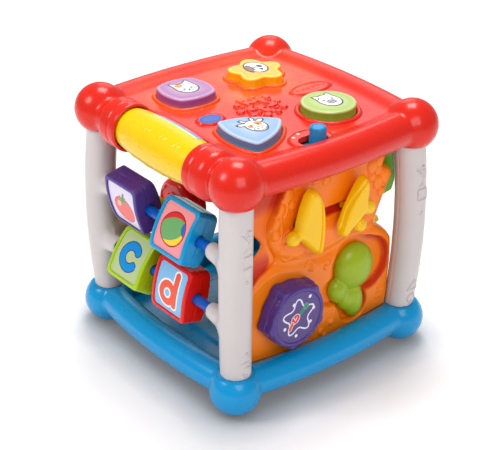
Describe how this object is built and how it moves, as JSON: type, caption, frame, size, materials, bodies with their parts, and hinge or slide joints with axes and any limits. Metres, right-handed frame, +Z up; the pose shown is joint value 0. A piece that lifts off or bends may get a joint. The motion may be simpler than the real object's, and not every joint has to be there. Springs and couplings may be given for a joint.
{
  "type": "baby activity cube",
  "caption": "Cube frame with light-up buttons and a roller on top, turning picture blocks, sliding cymbals, a tambourine, a maraca, gears and beads on its sides.",
  "frame": {"origin": "on the ground at the centre of the four feet, under the middle of the cube", "axes": "+Z up, -Y the side with the turning picture blocks, +X the side with the music panel"},
  "size_m": [0.1634, 0.1672, 0.163],
  "materials": {
    "blue_base": "glossy moulded",
    "white_post": "glossy moulded",
    "red_top": "glossy moulded",
    "battery_shell": "printed sleeve",
    "brass_spring": "bright",
    "green_board": "solder mask",
    "clear_lens": "clear",
    "zinc_steel": "zinc plated",
    "black_metal": "satin",
    "purple_lens": "translucent",
    "yellow_lens": "translucent",
    "ice_lens": "translucent",
    "green_lens": "translucent",
    "switch_blue": "glossy moulded",
    "roller_yellow": "glossy moulded",
    "axle_blue": "glossy moulded",
    "block_purple": "glossy moulded",
    "block_blue": "glossy moulded",
    "block_lime": "glossy moulded",
    "block_red": "glossy moulded",
    "panel_orange": "glossy moulded",
    "cymbal_yellow": "glossy moulded",
    "tambourine_purple": "glossy moulded",
    "maraca_green": "glossy moulded",
    "panel_green": "glossy moulded"
  },
  "bodies": {
    "frame": {"base_frame": "blue_base", "base_cover": "blue_base", "column_front": "white_post", "column_right": "white_post", "column_back": "white_post", "column_left": "white_post", "top_cover": "red_top", "top_housing": "red_top", "battery_door": "red_top", "batteries": "battery_shell", "battery_contacts": "brass_spring", "circuit_board": "green_board", "light_emitters": "clear_lens", "switch_domes": "zinc_steel", "speaker": "black_metal", "roller_axle": "zinc_steel", "upper_axle": "axle_blue", "lower_axle": "axle_blue", "bead_rod": "white_post", "music_panel": "panel_orange", "music_panel_back": "panel_orange", "tambourine_pin": "zinc_steel", "maraca_pin": "zinc_steel", "gear_panel": "panel_green", "gear_panel_back": "panel_green", "gear_pins": "zinc_steel", "base_screws": "zinc_steel", "housing_screws": "zinc_steel", "panel_screws": "zinc_steel"},
    "square_button": {"square_button": "purple_lens"},
    "star_button": {"star_button": "yellow_lens"},
    "triangle_button": {"triangle_button": "ice_lens"},
    "round_button": {"round_button": "green_lens"},
    "mode_slider": {"mode_slider": "switch_blue", "slider_contact": "brass_spring"},
    "roller": {"roller": "roller_yellow"},
    "purple_block": {"block_purple_front": "block_purple", "block_purple_back": "block_purple"},
    "blue_block": {"block_blue_front": "block_blue", "block_blue_back": "block_blue"},
    "lime_block": {"block_lime_front": "block_lime", "block_lime_back": "block_lime"},
    "red_block": {"block_red_front": "block_red", "block_red_back": "block_red"},
    "lime_bead": {"bead_lime": "block_lime"},
    "red_bead": {"bead_red": "block_red"},
    "yellow_bead": {"bead_yellow": "roller_yellow"},
    "left_cymbal": {"cymbal_left": "cymbal_yellow", "cymbal_left_clip": "zinc_steel"},
    "right_cymbal": {"cymbal_right": "cymbal_yellow", "cymbal_right_clip": "zinc_steel"},
    "tambourine": {"tambourine": "tambourine_purple"},
    "maraca": {"maraca": "maraca_green"},
    "yellow_gear": {"gear_yellow": "roller_yellow"},
    "red_gear": {"gear_red": "block_red"},
    "purple_gear": {"gear_purple": "tambourine_purple"}
  },
  "joints": [
    {"name": "square_button_press", "type": "slide", "parent": "frame", "child": "square_button", "axis": [0, 0, 1], "range_m": [-0.002, 0], "stiffness_N_per_m": 300, "springref_m": 0.002},
    {"name": "star_button_press", "type": "slide", "parent": "frame", "child": "star_button", "axis": [0, 0, 1], "range_m": [-0.002, 0], "stiffness_N_per_m": 300, "springref_m": 0.002},
    {"name": "triangle_button_press", "type": "slide", "parent": "frame", "child": "triangle_button", "axis": [0, 0, 1], "range_m": [-0.002, 0], "stiffness_N_per_m": 300, "springref_m": 0.002},
    {"name": "round_button_press", "type": "slide", "parent": "frame", "child": "round_button", "axis": [0, 0, 1], "range_m": [-0.002, 0], "stiffness_N_per_m": 300, "springref_m": 0.002},
    {"name": "mode_slide", "type": "slide", "parent": "frame", "child": "mode_slider", "axis": [0, 1, 0], "range_m": [-0.0064, 0]},
    {"name": "roller_spin", "type": "hinge", "parent": "frame", "child": "roller", "pos_m": [0.003, -0.0665, 0.1465], "axis": [1, 0, 0], "continuous": true},
    {"name": "purple_block_spin", "type": "hinge", "parent": "frame", "child": "purple_block", "pos_m": [-0.0285, -0.069, 0.101], "axis": [1, 0, 0], "continuous": true},
    {"name": "blue_block_spin", "type": "hinge", "parent": "frame", "child": "blue_block", "pos_m": [0.0207, -0.069, 0.101], "axis": [1, 0, 0], "continuous": true},
    {"name": "lime_block_spin", "type": "hinge", "parent": "frame", "child": "lime_block", "pos_m": [-0.0248, -0.069, 0.0616], "axis": [1, 0, 0], "continuous": true},
    {"name": "red_block_spin", "type": "hinge", "parent": "frame", "child": "red_block", "pos_m": [0.0174, -0.069, 0.0616], "axis": [1, 0, 0], "continuous": true},
    {"name": "lime_bead_slide", "type": "slide", "parent": "frame", "child": "lime_bead", "axis": [0, 1, 0], "range_m": [-0.008, 0.0075]},
    {"name": "red_bead_slide", "type": "slide", "parent": "frame", "child": "red_bead", "axis": [0, 1, 0], "range_m": [-0.0075, 0.025]},
    {"name": "yellow_bead_slide", "type": "slide", "parent": "frame", "child": "yellow_bead", "axis": [0, 1, 0], "range_m": [-0.025, 0.0095]},
    {"name": "left_cymbal_slide", "type": "slide", "parent": "frame", "child": "left_cymbal", "axis": [0, 1, 0], "range_m": [0, 0.005]},
    {"name": "right_cymbal_slide", "type": "slide", "parent": "frame", "child": "right_cymbal", "axis": [0, 1, 0], "range_m": [-0.005, 0]},
    {"name": "tambourine_spin", "type": "hinge", "parent": "frame", "child": "tambourine", "pos_m": [0.069, -0.026, 0.0528], "axis": [1, 0, 0], "continuous": true},
    {"name": "maraca_swing", "type": "hinge", "parent": "frame", "child": "maraca", "pos_m": [0.063, 0.0265, 0.0345], "axis": [1, 0, 0], "range_deg": [-18, 0]},
    {"name": "yellow_gear_spin", "type": "hinge", "parent": "frame", "child": "yellow_gear", "pos_m": [0.015, 0.068, 0.0554], "axis": [0, 1, 0], "continuous": true},
    {"name": "red_gear_spin", "type": "hinge", "parent": "frame", "child": "red_gear", "pos_m": [-0.00909, 0.068, 0.0898], "axis": [0, 1, 0], "continuous": true},
    {"name": "purple_gear_spin", "type": "hinge", "parent": "frame", "child": "purple_gear", "pos_m": [-0.0368, 0.068, 0.0738], "axis": [0, 1, 0], "continuous": true}
  ],
  "couplings": [
    {"joint": "red_gear_spin", "follows": "yellow_gear_spin", "ratio": -1.3333},
    {"joint": "purple_gear_spin", "follows": "yellow_gear_spin", "ratio": 1.7143}
  ]
}
